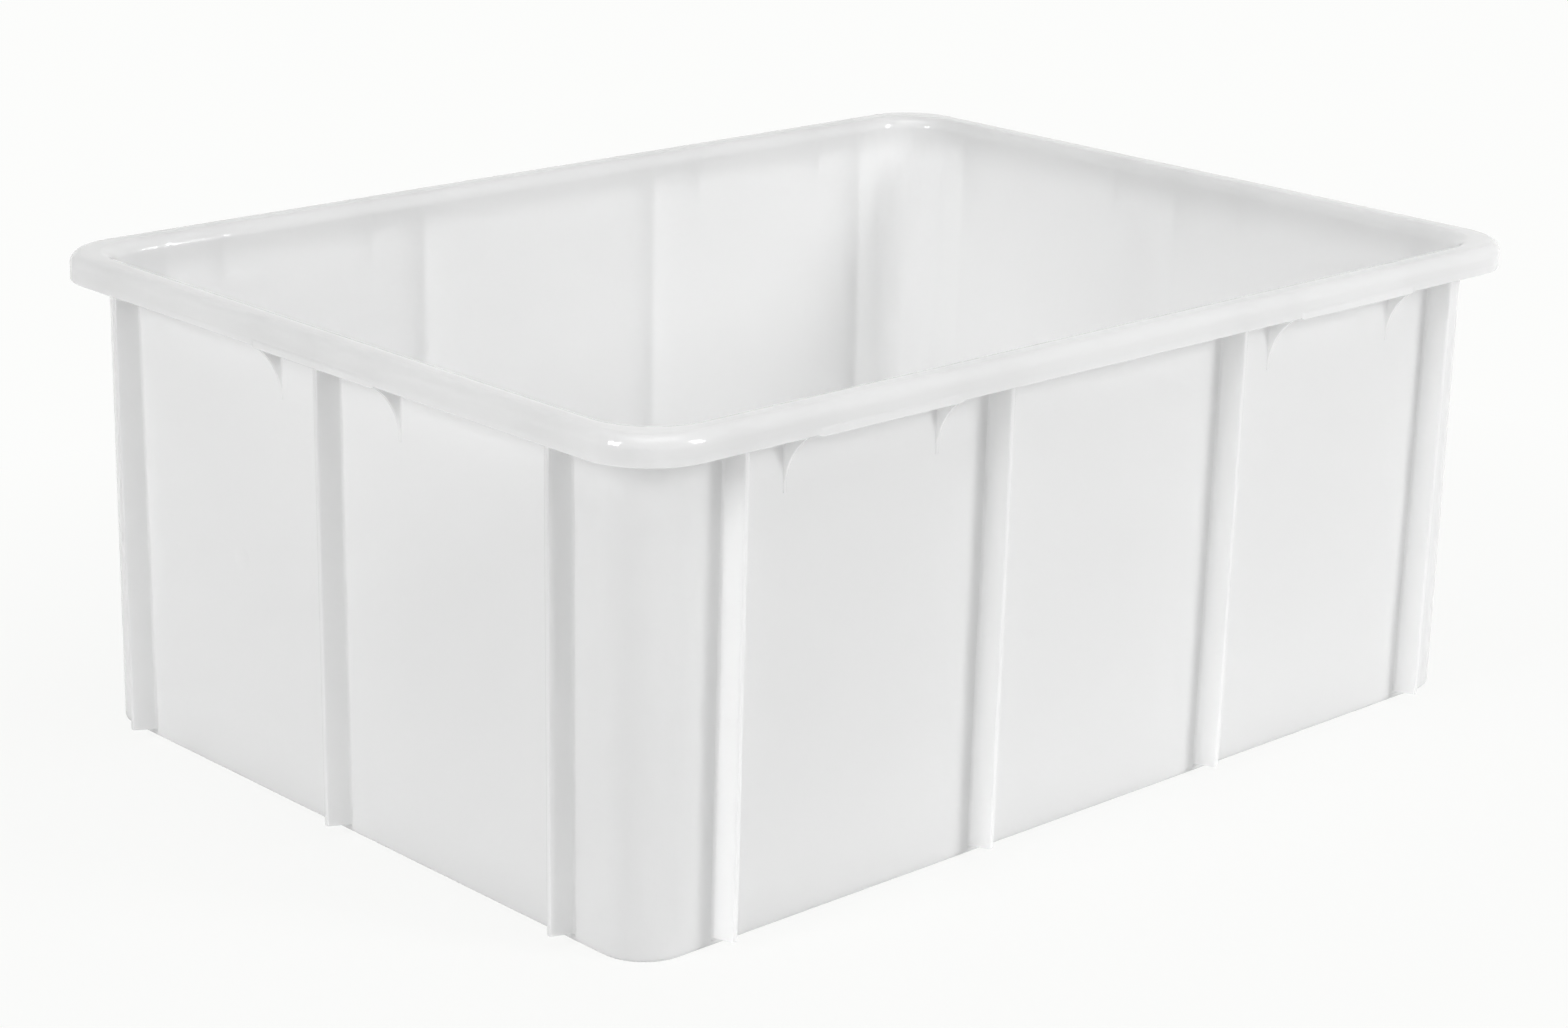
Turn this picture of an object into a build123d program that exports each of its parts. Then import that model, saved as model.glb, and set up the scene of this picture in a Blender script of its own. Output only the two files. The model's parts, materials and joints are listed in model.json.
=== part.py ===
from build123d import *
from math import cos, radians, sin, tan
import os

os.makedirs("parts", exist_ok=True)

# The bin stands on the XY plane. X runs along it, Y across it and Z up. Sizes are in millimetres.
rim_length = 700.0
rim_width = 518.0
bin_height = 280.0

# Floor, walls and upright corners. The walls lean outwards by the draft angle, in degrees.
wall_thickness = 3.5
wall_draft = 0.55
floor_thickness = 4.0
tray_height = 12.0
base_edge_radius = 2.5
floor_inner_radius = 4.0
corner_radius_base = 28.0
corner_radius_top = 36.0

# Rolled rim: a domed top with a lip that hangs down outside the wall.
rim_overhang = 17.5
rim_corner_radius = 41.5
rim_drop = 15.6
rim_skin = 3.5
rim_outer_round = 7.0
rim_inner_round = 8.0
channel_round = 3.5
grip_drop = 1.0

# Upright ribs. Their lower ends rest on the rim of the bin below when bins are stacked.
rib_depth = 15.5
rib_thickness = 3.6
rib_flare = 2.0
rib_edge_round = 0.8
rib_end_height = 7.0
rib_end_fall = 2.5
end_rib_inset = 71.0
inner_rib_gap = 186.0

# Curved gussets that hold up the lip beside each grip.
gusset_thickness = 2.2
gusset_fall = 32.0
gusset_tip_width = 0.8
gusset_lip_setback = 0.8
gusset_to_rib = 39.5
gusset_gap = 104.0

# Levels and slopes that follow from the sizes above.
lip_level = bin_height - rim_drop
wall_slope = tan(radians(wall_draft))
half_length_base = rim_length / 2 - rim_overhang - wall_slope * lip_level
half_width_base = rim_width / 2 - rim_overhang - wall_slope * lip_level
rib_top = bin_height - rim_skin - channel_round
rib_overreach = 2 * rim_overhang


def half_length(z):
    """Half the bin's outer length at height z."""
    return half_length_base + wall_slope * z


def half_width(z):
    """Half the bin's outer width at height z."""
    return half_width_base + wall_slope * z


def corner_radius(z):
    """Outer radius of the upright corners at height z."""
    return corner_radius_base + (corner_radius_top - corner_radius_base) * z / lip_level


def corner_x(z):
    """Where the flat part of the long walls ends at height z."""
    return half_length(z) - corner_radius(z)


def corner_y(z):
    """Where the flat part of the short walls ends at height z."""
    return half_width(z) - corner_radius(z)


def finish(part, name):
    """Names one piece and writes it."""
    part.label = name
    export_step(part, f"parts/{name}.step")


# Each side of the bin: outward direction, direction along the wall, half size and rim half size.
sides = {
    "front": (Vector(0, -1, 0), Vector(1, 0, 0), half_width, rim_width / 2),
    "back": (Vector(0, 1, 0), Vector(1, 0, 0), half_width, rim_width / 2),
    "left": (Vector(-1, 0, 0), Vector(0, 1, 0), half_length, rim_length / 2),
    "right": (Vector(1, 0, 0), Vector(0, 1, 0), half_length, rim_length / 2),
}
# Each upright corner: signs of its X and Y, and the angle at which its arc starts.
corners = {
    "back_right": (1, 1, 0),
    "back_left": (-1, 1, 90),
    "front_left": (-1, -1, 180),
    "front_right": (1, -1, 270),
}

# Floor: a flat plate with its edge turned up into the start of the walls.
with BuildPart() as floor:
    for level in (0, tray_height):
        with BuildSketch(Plane.XY.offset(level)):
            RectangleRounded(2 * half_length(level), 2 * half_width(level), corner_radius(level))
    loft()
    fillet(floor.edges().group_by(Axis.Z)[0], base_edge_radius)
    for level in (floor_thickness, tray_height):
        with BuildSketch(Plane.XY.offset(level)):
            RectangleRounded(
                2 * half_length(level) - 2 * wall_thickness,
                2 * half_width(level) - 2 * wall_thickness,
                corner_radius(level) - wall_thickness,
            )
    loft(mode=Mode.SUBTRACT)
    inner_floor = floor.faces().filter_by_position(Axis.Z, floor_thickness, floor_thickness)
    fillet(inner_floor.edges(), floor_inner_radius)
finish(floor.part, "floor")


def make_wall(name, outward, along, half_size, half_flat):
    """Builds one flat wall between two upright corners."""
    with BuildPart() as wall:
        for level in (tray_height, lip_level):
            middle = outward * (half_size(level) - wall_thickness / 2)
            level_plane = Plane(origin=middle + Vector(0, 0, level), x_dir=along, z_dir=(0, 0, 1))
            with BuildSketch(level_plane):
                Rectangle(2 * half_flat(level), wall_thickness)
        loft()
    finish(wall.part, name)


for side, (outward, along, half_size, rim_half) in sides.items():
    half_flat = corner_x if side in ("front", "back") else corner_y
    make_wall(f"wall_{side}", outward, along, half_size, half_flat)


def make_corner(name, sign_x, sign_y, start):
    """Builds one upright corner, a quarter of a slightly widening tube."""
    with BuildPart() as corner:
        for level in (tray_height, lip_level):
            centre = (sign_x * corner_x(level), sign_y * corner_y(level))
            outer_radius = corner_radius(level)
            inner_radius = outer_radius - wall_thickness
            with BuildSketch(Plane.XY.offset(level)):
                with BuildLine():
                    outer = CenterArc(centre, outer_radius, start, 90)
                    inner = CenterArc(centre, inner_radius, start, 90)
                    Line(outer @ 0, inner @ 0)
                    Line(outer @ 1, inner @ 1)
                make_face()
        loft()
    finish(corner.part, name)


for place, (sign_x, sign_y, start) in corners.items():
    make_corner(f"corner_{place}", sign_x, sign_y, start)

# Rim: the whole ring is shaped first, then cut into straight runs and corners.
with BuildPart() as ring:
    with BuildSketch(Plane.XY.offset(lip_level)):
        RectangleRounded(rim_length, rim_width, rim_corner_radius)
    extrude(amount=rim_drop)
    fillet(ring.edges().group_by(Axis.Z)[-1], rim_outer_round)
    with BuildSketch(Plane.XY.offset(lip_level)):
        RectangleRounded(
            2 * half_length(lip_level) - 2 * wall_thickness,
            2 * half_width(lip_level) - 2 * wall_thickness,
            corner_radius(lip_level) - wall_thickness,
        )
    extrude(amount=rim_drop, mode=Mode.SUBTRACT)
    crest = ring.faces().sort_by(Axis.Z)[-1]
    fillet(crest.inner_wires()[0].edges(), rim_inner_round)
    with BuildSketch(Plane.XY.offset(lip_level)):
        RectangleRounded(rim_length - 2 * rim_skin, rim_width - 2 * rim_skin, rim_corner_radius - rim_skin)
        RectangleRounded(
            2 * half_length(lip_level),
            2 * half_width(lip_level),
            corner_radius(lip_level),
            mode=Mode.SUBTRACT,
        )
    extrude(amount=rim_drop - rim_skin, mode=Mode.SUBTRACT)
    roof_level = bin_height - rim_skin
    roof = ring.faces().filter_by(Plane.XY).filter_by_position(Axis.Z, roof_level, roof_level)
    fillet(roof.edges(), channel_round)


def make_rim_run(name, outward, along, rim_half, run_length, grips):
    """Cuts one straight run of the rim and adds the deeper lip at its grips."""
    reach_in = rim_overhang + corner_radius_top
    run_plane = Plane(origin=outward * rim_half + Vector(0, 0, lip_level), x_dir=along, z_dir=(0, 0, 1))
    lip_middle = outward * (rim_half - rim_skin / 2)
    grip_plane = Plane(origin=lip_middle + Vector(0, 0, lip_level - grip_drop), x_dir=along, z_dir=(0, 0, 1))
    with BuildPart() as run:
        add(ring.part)
        with BuildSketch(run_plane):
            Rectangle(run_length, 2 * reach_in)
        extrude(amount=2 * rim_drop, both=True, mode=Mode.INTERSECT)
        for grip_start, grip_end in grips:
            with BuildSketch(grip_plane):
                with Locations(((grip_start + grip_end) / 2, 0)):
                    Rectangle(grip_end - grip_start - gusset_thickness, rim_skin)
            extrude(amount=grip_drop)
    finish(run.part, name)


def make_rim_corner(name, sign_x, sign_y):
    """Cuts one corner of the rim."""
    size_x = rim_length / 2 - corner_x(lip_level)
    size_y = rim_width / 2 - corner_y(lip_level)
    outermost = (sign_x * rim_length / 2, sign_y * rim_width / 2)
    with BuildPart() as rim_corner:
        add(ring.part)
        with BuildSketch(Plane.XY.offset(lip_level)):
            with Locations(outermost):
                Rectangle(2 * size_x, 2 * size_y)
        extrude(amount=2 * rim_drop, both=True, mode=Mode.INTERSECT)
    finish(rim_corner.part, name)


# Rib and gusset places, measured along each wall from its middle.
long_ribs = (
    -(rim_length / 2 - end_rib_inset),
    -inner_rib_gap / 2,
    inner_rib_gap / 2,
    rim_length / 2 - end_rib_inset,
)
short_ribs = (-(rim_width / 2 - end_rib_inset), 0.0, rim_width / 2 - end_rib_inset)
grip_inner = inner_rib_gap / 2 + gusset_to_rib
grip_outer = rim_length / 2 - end_rib_inset - gusset_to_rib
long_grips = ((-grip_outer, -grip_inner), (grip_inner, grip_outer))
short_grips = ((-gusset_gap / 2, gusset_gap / 2),)

for side, (outward, along, half_size, rim_half) in sides.items():
    is_long = side in ("front", "back")
    run_length = 2 * corner_x(lip_level) if is_long else 2 * corner_y(lip_level)
    grips = long_grips if is_long else short_grips
    make_rim_run(f"rim_{side}", outward, along, rim_half, run_length, grips)

for place, (sign_x, sign_y, start) in corners.items():
    make_rim_corner(f"rim_corner_{place}", sign_x, sign_y)


def make_rib(name, outward, along, position, half_size, rim_half, lip_bottom):
    """Builds one rib: a fin with a flared root, following the lean of the wall up into the rim."""
    up = Vector(0, 0, 1)
    draft = radians(wall_draft)
    rise = outward * sin(draft) + up * cos(draft)
    normal = outward * cos(draft) - up * sin(draft)
    foot = outward * half_size(0) + along * position
    section_plane = Plane(origin=foot, x_dir=normal.cross(rise), z_dir=rise)
    side_plane = Plane(origin=along * position, x_dir=outward, z_dir=outward.cross(up))
    half_rib = rib_thickness / 2
    wall_in = half_size(0) - rib_overreach
    clear_out = half_size(lip_level) + rib_depth + rib_overreach
    fall = rib_end_fall / rib_depth
    edge = half_size(rib_end_height) + rib_depth
    lip_inside = rim_half - rim_skin
    with BuildPart() as rib:
        with BuildSketch(section_plane) as section:
            with BuildLine():
                Polyline(
                    (-half_rib - rib_flare, 0),
                    (half_rib + rib_flare, 0),
                    (half_rib, rib_flare),
                    (half_rib, rib_depth),
                    (-half_rib, rib_depth),
                    (-half_rib, rib_flare),
                    close=True,
                )
            make_face()
            fillet(section.vertices().group_by(Axis.Y)[-1], rib_edge_round)
        extrude(amount=bin_height)
        with BuildSketch(side_plane):
            with BuildLine():
                Polyline(
                    (wall_in, rib_end_height + (wall_in - edge) * fall),
                    (clear_out, rib_end_height + (clear_out - edge) * fall),
                    (clear_out, lip_bottom),
                    (lip_inside, lip_bottom),
                    (lip_inside, rib_top),
                    (wall_in, rib_top),
                    close=True,
                )
            make_face()
        extrude(amount=rib_thickness + 2 * rib_flare, both=True, mode=Mode.INTERSECT)
    finish(rib.part, name)


def make_gusset(name, outward, along, position, half_size, rim_half):
    """Builds one thin gusset with a hollow curve from the wall out to the lip."""
    side_plane = Plane(origin=along * position, x_dir=outward, z_dir=outward.cross(Vector(0, 0, 1)))
    tip_level = lip_level - gusset_fall
    tip = (half_size(tip_level) + gusset_tip_width, tip_level)
    lip_inside = rim_half - rim_skin
    lip_end = (rim_half - gusset_lip_setback, lip_level)
    with BuildPart() as gusset:
        with BuildSketch(side_plane):
            with BuildLine():
                TangentArc(tip, lip_end, tangent=(wall_slope, 1))
                Polyline(
                    lip_end,
                    (lip_inside, lip_level),
                    (lip_inside, rib_top),
                    (half_size(rib_top), rib_top),
                    (half_size(tip_level), tip_level),
                    tip,
                )
            make_face()
        extrude(amount=gusset_thickness / 2, both=True)
    finish(gusset.part, name)


for side, (outward, along, half_size, rim_half) in sides.items():
    is_long = side in ("front", "back")
    ribs = long_ribs if is_long else short_ribs
    grips = long_grips if is_long else short_grips
    gussets = [end for grip in grips for end in grip]
    for number, position in enumerate(ribs, start=1):
        in_grip = any(start < position < end for start, end in grips)
        lip_bottom = lip_level - grip_drop if in_grip else lip_level
        make_rib(f"rib_{side}_{number}", outward, along, position, half_size, rim_half, lip_bottom)
    for number, position in enumerate(gussets, start=1):
        make_gusset(f"gusset_{side}_{number}", outward, along, position, half_size, rim_half)
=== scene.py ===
import json
import math
from collections import namedtuple
from functools import lru_cache

import bmesh
import bpy
from bpy.props import FloatProperty, FloatVectorProperty, IntProperty, PointerProperty
from mathutils import Matrix, Vector

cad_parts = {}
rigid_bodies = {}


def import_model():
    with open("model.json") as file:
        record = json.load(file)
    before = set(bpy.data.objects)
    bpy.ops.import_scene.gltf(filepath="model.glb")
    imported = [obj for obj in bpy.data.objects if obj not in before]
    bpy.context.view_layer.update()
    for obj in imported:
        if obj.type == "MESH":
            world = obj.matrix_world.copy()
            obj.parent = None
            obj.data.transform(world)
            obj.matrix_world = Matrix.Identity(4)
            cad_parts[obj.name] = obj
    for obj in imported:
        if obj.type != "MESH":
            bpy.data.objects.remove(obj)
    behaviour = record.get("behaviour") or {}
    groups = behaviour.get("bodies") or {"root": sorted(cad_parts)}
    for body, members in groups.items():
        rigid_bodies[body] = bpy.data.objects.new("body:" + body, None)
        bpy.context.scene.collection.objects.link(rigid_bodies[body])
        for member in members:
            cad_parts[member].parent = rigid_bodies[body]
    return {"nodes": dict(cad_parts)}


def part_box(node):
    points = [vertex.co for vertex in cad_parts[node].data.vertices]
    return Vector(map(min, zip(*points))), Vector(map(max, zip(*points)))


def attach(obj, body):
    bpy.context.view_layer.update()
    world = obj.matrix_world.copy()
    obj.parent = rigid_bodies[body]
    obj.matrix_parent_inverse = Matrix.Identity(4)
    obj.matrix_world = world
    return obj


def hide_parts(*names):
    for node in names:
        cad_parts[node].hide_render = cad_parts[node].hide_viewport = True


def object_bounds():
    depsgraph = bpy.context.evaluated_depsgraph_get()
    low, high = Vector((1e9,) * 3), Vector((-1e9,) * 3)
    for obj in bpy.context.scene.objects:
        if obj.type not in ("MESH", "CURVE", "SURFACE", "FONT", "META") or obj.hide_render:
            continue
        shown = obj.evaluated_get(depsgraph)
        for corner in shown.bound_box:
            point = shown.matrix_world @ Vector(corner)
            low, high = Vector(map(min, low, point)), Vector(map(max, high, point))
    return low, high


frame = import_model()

bl_info = {
    "name": "Stacking bin",
    "version": (1, 0, 0),
    "blender": (4, 5, 0),
    "location": "View3D > Sidebar > Bin",
    "description": "Builds a white moulded harvest bin with a rolled rim, ribs and gussets",
    "category": "Object",
}

# The frame's own box, kept before any piece is made.
FRAME_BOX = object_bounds()
BODY = "root"

# Names of the pieces that are fused into the moulding.
SHELL = "bin_shell"
FINS = "bin_fins"

# Places read from the frame, in metres.
FLOOR_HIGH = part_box("floor")[1]
WALL_LOW, WALL_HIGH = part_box("wall_front")
RIM_HALF_LENGTH = FRAME_BOX[1][0]
RIM_HALF_WIDTH = FRAME_BOX[1][1]
BIN_HEIGHT = FRAME_BOX[1][2]
LIP_LEVEL = WALL_HIGH.z
WALL_TOP_HALF_WIDTH = -WALL_LOW.y
WALL_TOP_HALF_LENGTH = -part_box("wall_left")[0].x
TRAY_HEIGHT = FLOOR_HIGH.z
WALL_SLOPE = (WALL_TOP_HALF_WIDTH - FLOOR_HIGH.y) / (LIP_LEVEL - TRAY_HEIGHT)

# Each wall: how far a piece made for the front wall turns about Z, and the axis that runs along the wall.
WALLS = {
    "front": (0.0, 0),
    "right": (90.0, 1),
    "back": (180.0, 0),
    "left": (270.0, 1),
}


def node_names(kind, wall):
    """CAD nodes of one kind on one wall, in order along it."""
    start = f"{kind}_{wall}_"
    return sorted(name for name in frame["nodes"] if name.startswith(start))


@lru_cache(maxsize=None)
def places(kind, wall):
    """Middle of each node of one kind, measured along its wall."""
    axis = WALLS[wall][1]
    boxes = [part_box(name) for name in node_names(kind, wall)]
    return [(low[axis] + high[axis]) / 2 for low, high in boxes]


def grips(wall):
    """Start and end of each hand grip along a wall: the stretch between two gussets."""
    ends = places("gusset", wall)
    return list(zip(ends[0::2], ends[1::2]))


class BinSizes(bpy.types.PropertyGroup):
    """Sizes of the moulding that the frame's box doesn't give."""

    wall_thickness: FloatProperty(
        name="Wall thickness", description="Thickness of the walls", default=0.0035, unit="LENGTH"
    )
    floor_thickness: FloatProperty(
        name="Floor thickness", description="Thickness of the floor", default=0.004, unit="LENGTH"
    )
    base_edge_radius: FloatProperty(
        name="Base edge radius", description="Rounding under the base edge", default=0.0025, unit="LENGTH"
    )
    floor_inner_radius: FloatProperty(
        name="Floor inner radius", description="Rounding where the floor meets the walls", default=0.004,
        unit="LENGTH",
    )
    corner_radius_base: FloatProperty(
        name="Corner radius at base", description="Outer corner radius at the floor", default=0.028,
        unit="LENGTH",
    )
    corner_radius_top: FloatProperty(
        name="Corner radius at top", description="Outer corner radius under the rim", default=0.036,
        unit="LENGTH",
    )
    rim_corner_radius: FloatProperty(
        name="Rim corner radius", description="Outer corner radius of the lip", default=0.0415, unit="LENGTH"
    )
    rim_skin: FloatProperty(
        name="Rim thickness", description="Thickness of the rolled rim", default=0.0035, unit="LENGTH"
    )
    rim_outer_round: FloatProperty(
        name="Rim shoulder", description="Rounding on the rim's outer shoulder", default=0.007, unit="LENGTH"
    )
    rim_inner_round: FloatProperty(
        name="Rim inner round", description="Rounding from the rim into the bin", default=0.008, unit="LENGTH"
    )
    channel_round: FloatProperty(
        name="Channel round", description="Rounding inside the channel under the rim", default=0.0035,
        unit="LENGTH",
    )
    lip_bead: FloatProperty(
        name="Lip bead", description="How far the lip's lower edge stands out", default=0.0005, unit="LENGTH"
    )
    lip_bead_height: FloatProperty(
        name="Lip bead height", description="Height of the bead on the lip's lower edge", default=0.0036,
        unit="LENGTH",
    )
    lip_edge_round: FloatProperty(
        name="Lip edge round", description="Rounding of the lip's lower edge", default=0.0007, unit="LENGTH"
    )
    grip_drop: FloatProperty(
        name="Grip drop", description="How much deeper the lip hangs at the grips", default=0.001,
        unit="LENGTH",
    )
    grip_proud: FloatProperty(
        name="Grip proud", description="How much further the lip's edge stands out at the grips",
        default=0.0004, unit="LENGTH",
    )
    grip_inset: FloatProperty(
        name="Grip inset", description="Distance from a gusset to the deeper lip on the long walls",
        default=0.007, unit="LENGTH",
    )
    rib_sink: FloatProperty(
        name="Rib sink", description="Depth of the sink mark inside the wall behind a rib", default=0.00015,
        unit="LENGTH",
    )
    rib_sink_width: FloatProperty(
        name="Rib sink width", description="Half width of the sink mark behind a rib", default=0.003,
        unit="LENGTH",
    )
    gusset_sink: FloatProperty(
        name="Gusset sink", description="Depth of the sink mark behind a gusset", default=0.0001,
        unit="LENGTH",
    )
    gusset_sink_width: FloatProperty(
        name="Gusset sink width", description="Half width of the sink mark behind a gusset", default=0.0026,
        unit="LENGTH",
    )
    dimple_radius: FloatProperty(
        name="Dimple radius", description="Radius of the round mark on the left wall", default=0.0075,
        unit="LENGTH",
    )
    dimple_depth: FloatProperty(
        name="Dimple depth", description="Depth of the round mark on the left wall", default=0.00025,
        unit="LENGTH",
    )
    rib_depth: FloatProperty(
        name="Rib depth", description="How far a rib stands out from the wall", default=0.0155, unit="LENGTH"
    )
    rib_thickness: FloatProperty(
        name="Rib thickness", description="Thickness of a rib at its root", default=0.0036, unit="LENGTH"
    )
    rib_edge_thickness: FloatProperty(
        name="Rib edge thickness", description="Thickness of a rib at its outer edge", default=0.0032,
        unit="LENGTH",
    )
    rib_end_height: FloatProperty(
        name="Rib end height", description="Height of a rib's lower end at its edge", default=0.007,
        unit="LENGTH",
    )
    rib_end_fall: FloatProperty(
        name="Rib end fall", description="How much lower a rib ends at the wall", default=0.0025,
        unit="LENGTH",
    )
    gusset_thickness: FloatProperty(
        name="Gusset thickness", description="Thickness of a gusset at its root", default=0.0022,
        unit="LENGTH",
    )
    gusset_fall: FloatProperty(
        name="Gusset fall", description="How far a gusset runs down below the lip", default=0.032,
        unit="LENGTH",
    )
    gusset_setback: FloatProperty(
        name="Gusset setback", description="Distance from a gusset's outer end to the lip's face",
        default=0.0008, unit="LENGTH",
    )
    gusset_edge_thickness: FloatProperty(
        name="Gusset edge thickness", description="Thickness of a gusset at its outer edge", default=0.0018,
        unit="LENGTH",
    )
    gusset_fillet: FloatProperty(
        name="Gusset fillet", description="Rounding where gussets meet the wall", default=0.0011,
        unit="LENGTH",
    )
    gusset_edge_round: FloatProperty(
        name="Gusset edge round", description="Rounding along the outer edge of gussets", default=0.0006,
        unit="LENGTH",
    )
    root_fillet: FloatProperty(
        name="Root fillet", description="Rounding where ribs meet the wall", default=0.0016,
        unit="LENGTH",
    )
    fin_edge_round: FloatProperty(
        name="Fin edge round", description="Rounding along the outer edge of ribs",
        default=0.0009, unit="LENGTH",
    )
    corner_steps: IntProperty(
        name="Corner steps", description="Faces around each upright corner", default=16, min=4
    )


class BinLook(bpy.types.PropertyGroup):
    """Colours, finish and light."""

    plastic_colour: FloatVectorProperty(
        name="Plastic", description="Colour of the moulded plastic", default=(0.917, 0.92, 0.919),
        size=3, min=0, max=1, subtype="COLOR",
    )
    floor_colour: FloatVectorProperty(
        name="Floor", description="Colour of the floor and the background", default=(0.974, 0.978, 0.968),
        size=3, min=0, max=1, subtype="COLOR",
    )
    roughness: FloatProperty(
        name="Roughness", description="Roughness of the moulded surface", default=0.24, min=0, max=1,
        subtype="FACTOR",
    )
    scatter_depth: FloatProperty(
        name="Scatter depth", description="How deep light scatters in the plastic", default=0.011,
        unit="LENGTH",
    )
    ambient: FloatProperty(
        name="Ambient", description="Strength of the even light all round", default=0.053, min=0
    )


def half_length(height):
    """Half the bin's outer length at a height."""
    return WALL_TOP_HALF_LENGTH + WALL_SLOPE * (min(height, LIP_LEVEL) - LIP_LEVEL)


def half_width(height):
    """Half the bin's outer width at a height."""
    return WALL_TOP_HALF_WIDTH + WALL_SLOPE * (min(height, LIP_LEVEL) - LIP_LEVEL)


def corner_radius(sizes, height):
    """Outer radius of the upright corners at a height."""
    share = min(height / LIP_LEVEL, 1.0)
    return sizes.corner_radius_base + (sizes.corner_radius_top - sizes.corner_radius_base) * share


def arc(centre, radius, start, end, steps):
    """Points on a circle, angles in degrees, both ends included."""
    points = []
    for step in range(steps + 1):
        angle = math.radians(start + (end - start) * step / steps)
        points.append((centre[0] + radius * math.cos(angle), centre[1] + radius * math.sin(angle)))
    return points


# Faces round each small radius of the skin, and up its outer and inner walls.
BASE_EDGE_STEPS = 7
OUTER_LEVELS = 10
CHANNEL_STEPS = 4
LIP_EDGE_STEPS = 3
SHOULDER_STEPS = 8
RIM_INNER_STEPS = 10
INNER_LEVELS = 14
FLOOR_FILLET_STEPS = 6

# The fade above the bead on the lip: the share of the bead that still stands out, the height above the bead's
# top in beads, and the shares of the extra drop and thickness at the grips.
BEAD_FADE = (
    (1.0, -1.0, 0.6, 1.0),
    (0.8, 0.0, 0.5, 0.8),
    (0.25, 1.0, 0.4, 0.25),
    (0.0, 1.8, 0.3, 0.0),
)

# One ring round the bin: half length, half width, corner radius and height. The shares say how much of the
# lip's extra drop and thickness at the grips, and of the sink marks behind ribs and gussets, the ring takes.
Ring = namedtuple("Ring", "length width radius height drop proud sink", defaults=(0.0, 0.0, 0.0))


def outer_wall_rings(sizes):
    """Rings up the outside of the bin, from under its base to the top of the channel behind the lip."""
    rings = []
    edge = sizes.base_edge_radius
    for inset, height in arc((edge, edge), edge, -90, -180, BASE_EDGE_STEPS):
        radius = corner_radius(sizes, height) - inset
        rings.append(Ring(half_length(height) - inset, half_width(height) - inset, radius, height))
    for level in range(1, OUTER_LEVELS + 1):
        height = edge + (LIP_LEVEL - edge) * level / OUTER_LEVELS
        rings.append(Ring(half_length(height), half_width(height), corner_radius(sizes, height), height))
    channel_top = BIN_HEIGHT - sizes.rim_skin - sizes.channel_round
    rings.append(Ring(WALL_TOP_HALF_LENGTH, WALL_TOP_HALF_WIDTH, sizes.corner_radius_top, channel_top))
    return rings


def rim_ring(out, radius, height, drop=0.0, proud=0.0, sink=0.0):
    """One ring of the rim, set out from the top of the outer wall."""
    return Ring(WALL_TOP_HALF_LENGTH + out, WALL_TOP_HALF_WIDTH + out, radius, height, drop, proud, sink)


def rim_rings(sizes):
    """Rings from the channel's inner side over the lip and the crest to the top of the inner wall."""
    overhang = RIM_HALF_LENGTH - WALL_TOP_HALF_LENGTH
    lip_inside = overhang - sizes.rim_skin
    roof = BIN_HEIGHT - sizes.rim_skin
    small = sizes.channel_round
    lip_round = sizes.lip_edge_round
    face = overhang - sizes.lip_bead
    shoulder = sizes.rim_outer_round
    lip_low = LIP_LEVEL + lip_round
    bead_top = LIP_LEVEL + sizes.lip_bead_height
    inner = sizes.rim_inner_round
    outer_corner = sizes.rim_corner_radius - overhang

    rings = []
    for out, height in arc((small, roof - small), small, 180, 90, CHANNEL_STEPS)[1:]:
        rings.append(rim_ring(out, sizes.corner_radius_top + out, height))
    for out, height in arc((lip_inside - small, roof - small), small, 90, 0, CHANNEL_STEPS):
        rings.append(rim_ring(out, outer_corner + out, height))
    for out, height in arc((lip_inside + lip_round, lip_low), lip_round, 180, 270, LIP_EDGE_STEPS):
        rings.append(rim_ring(out, outer_corner + out, height, drop=1.0))
    for out, height in arc((overhang - lip_round, lip_low), lip_round, 270, 360, LIP_EDGE_STEPS):
        rings.append(rim_ring(out, outer_corner + out, height, drop=1.0, proud=1.0))
    for standing, rise, drop, proud in BEAD_FADE:
        out = face + sizes.lip_bead * standing
        height = bead_top + sizes.lip_bead * rise
        rings.append(rim_ring(out, outer_corner + out, height, drop=drop, proud=proud))
    for out, height in arc((face - shoulder, BIN_HEIGHT - shoulder), shoulder, 0, 90, SHOULDER_STEPS):
        rings.append(rim_ring(out, outer_corner + out, height))
    turn = arc((inner - sizes.wall_thickness, BIN_HEIGHT - inner), inner, 90, 180, RIM_INNER_STEPS)
    for step, (out, height) in enumerate(turn):
        rings.append(rim_ring(out, sizes.corner_radius_top + out, height, sink=step / RIM_INNER_STEPS))
    return rings


def inner_wall_rings(sizes):
    """Rings down the inside of the bin to the floor."""
    rings = []
    thickness = sizes.wall_thickness
    fillet = sizes.floor_inner_radius
    floor = sizes.floor_thickness
    top = BIN_HEIGHT - sizes.rim_inner_round
    for level in range(1, INNER_LEVELS):
        height = top + (floor + fillet - top) * level / INNER_LEVELS
        radius = corner_radius(sizes, height) - thickness
        length = half_length(height) - thickness
        rings.append(Ring(length, half_width(height) - thickness, radius, height, sink=1.0))
    for inset, height in arc((fillet, floor + fillet), fillet, 180, 270, FLOOR_FILLET_STEPS):
        radius = corner_radius(sizes, height) - thickness - inset
        length = half_length(height) - thickness - inset
        rings.append(Ring(length, half_width(height) - thickness - inset, radius, height))
    return rings


# Places along a wall, measured from a rib, a gusset or a step in the lip, where the rings have extra points.
# Between them, points stand about one spacing apart, and none closer to another than the gaps allow.
FIN_STEPS = (-0.0095, -0.0065, -0.0045, -0.003, -0.0015, 0.0, 0.0015, 0.003, 0.0045, 0.0065, 0.0095)
LIP_STEPS = (-0.0016, -0.0010, -0.0004, 0.0004, 0.0010, 0.0016)
CORNER_REACH = 0.065
STATION_SPACING = 0.024
CROWDED = STATION_SPACING / 4
STATION_GAP = 0.0003


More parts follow.
